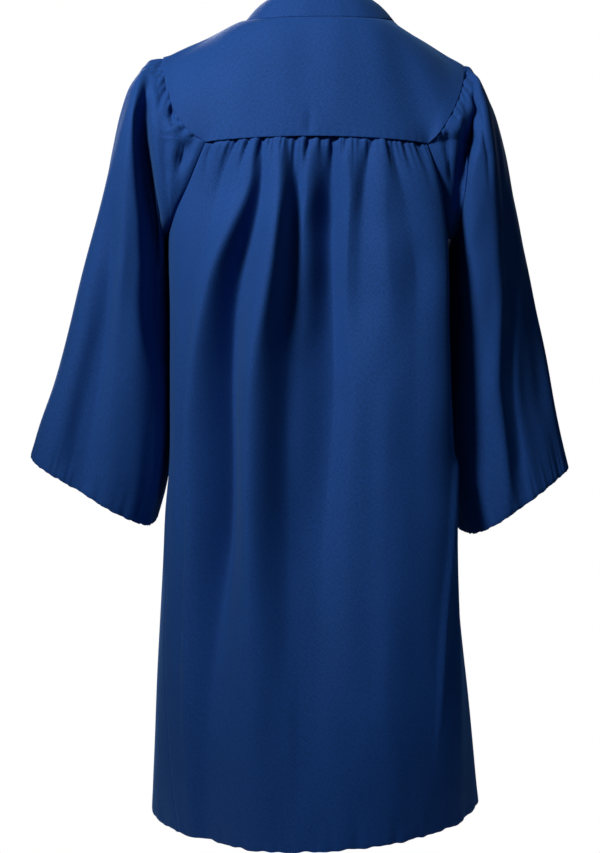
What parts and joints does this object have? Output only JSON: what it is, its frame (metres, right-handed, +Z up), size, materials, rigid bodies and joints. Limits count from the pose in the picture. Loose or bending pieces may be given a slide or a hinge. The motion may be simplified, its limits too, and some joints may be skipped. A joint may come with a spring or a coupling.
{
  "type": "graduation gown",
  "caption": "Blue graduation gown, worn and empty: smooth yoke, gathered back and fronts, wide open sleeves and a front zip.",
  "frame": {"origin": "centre of the neck opening at the height of the back neck seam, where the wearer's neck and shoulders hold the gown", "axes": "+Z up, the gown's back faces +Y, its front and zip face -Y, the wearer's left is +X"},
  "size_m": [0.7963, 0.4077, 1.2016],
  "materials": {
    "cloth": "matte, fine close weave",
    "tape": "matte woven tape",
    "chain": "moulded zip coil",
    "zip_metal": "coated in the cloth's colour"
  },
  "bodies": {
    "gown": {"yoke": "cloth", "collar": "cloth", "back": "cloth", "front_left": "cloth", "front_right": "cloth", "sleeve_left": "cloth", "sleeve_right": "cloth", "zip_tape_left": "tape", "zip_tape_right": "tape", "zip_chain": "chain", "zip_slider": "zip_metal"},
    "pull": {"zip_pull": "zip_metal"}
  },
  "joints": [
    {"name": "pull_swing", "type": "hinge", "parent": "gown", "child": "pull", "pos_m": [0, -0.1092, -0.1783], "axis": [-1, 0, 0], "range_deg": [0, 150]}
  ]
}
